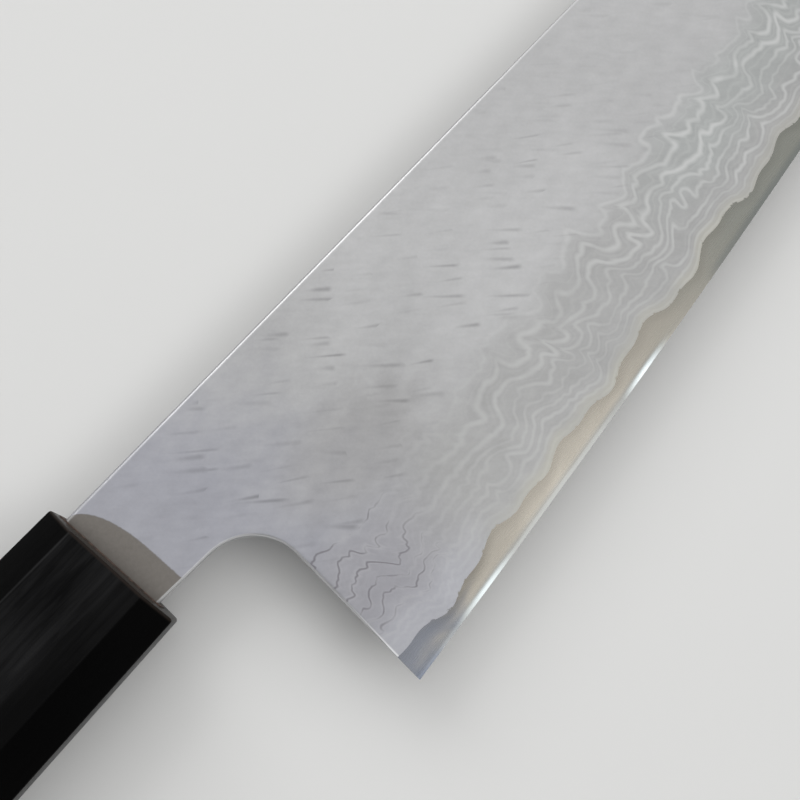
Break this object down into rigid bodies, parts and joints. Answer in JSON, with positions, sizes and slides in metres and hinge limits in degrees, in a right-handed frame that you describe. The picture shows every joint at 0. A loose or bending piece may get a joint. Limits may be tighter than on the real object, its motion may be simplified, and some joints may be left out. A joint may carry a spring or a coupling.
{
  "type": "gyuto knife",
  "caption": "Chef's knife with a straight-spined damascus blade, a wavy core line along the edge, a rounded choil and a black octagonal handle with a horn ferrule.",
  "frame": {"origin": "centre of the box under the knife, on the surface that it lies on", "axes": "+X to the tip, +Y to the spine, +Z out of the right side of the blade, which faces up"},
  "size_m": [0.3648, 0.051, 0.0204],
  "materials": {
    "core_steel": "etched darker, satin, with a bright micro bevel",
    "damascus_steel": "satin, etched damascus lines and shallow hammer marks",
    "black_horn": "black buffalo horn, satin polish",
    "ebony": "black ebony, oiled satin with fine lengthwise grain",
    "dowel_wood": "raw light hardwood",
    "bedding_resin": "hardened amber filler",
    "brown_filler": "hardened brown filler"
  },
  "bodies": {
    "root": {"blade_core": "core_steel", "cladding_right": "damascus_steel", "cladding_left": "damascus_steel", "horn_ferrule": "black_horn", "ebony_handle": "ebony", "ferrule_dowel": "dowel_wood", "tang_bedding": "bedding_resin", "mouth_seal": "brown_filler"}
  },
  "joints": []
}
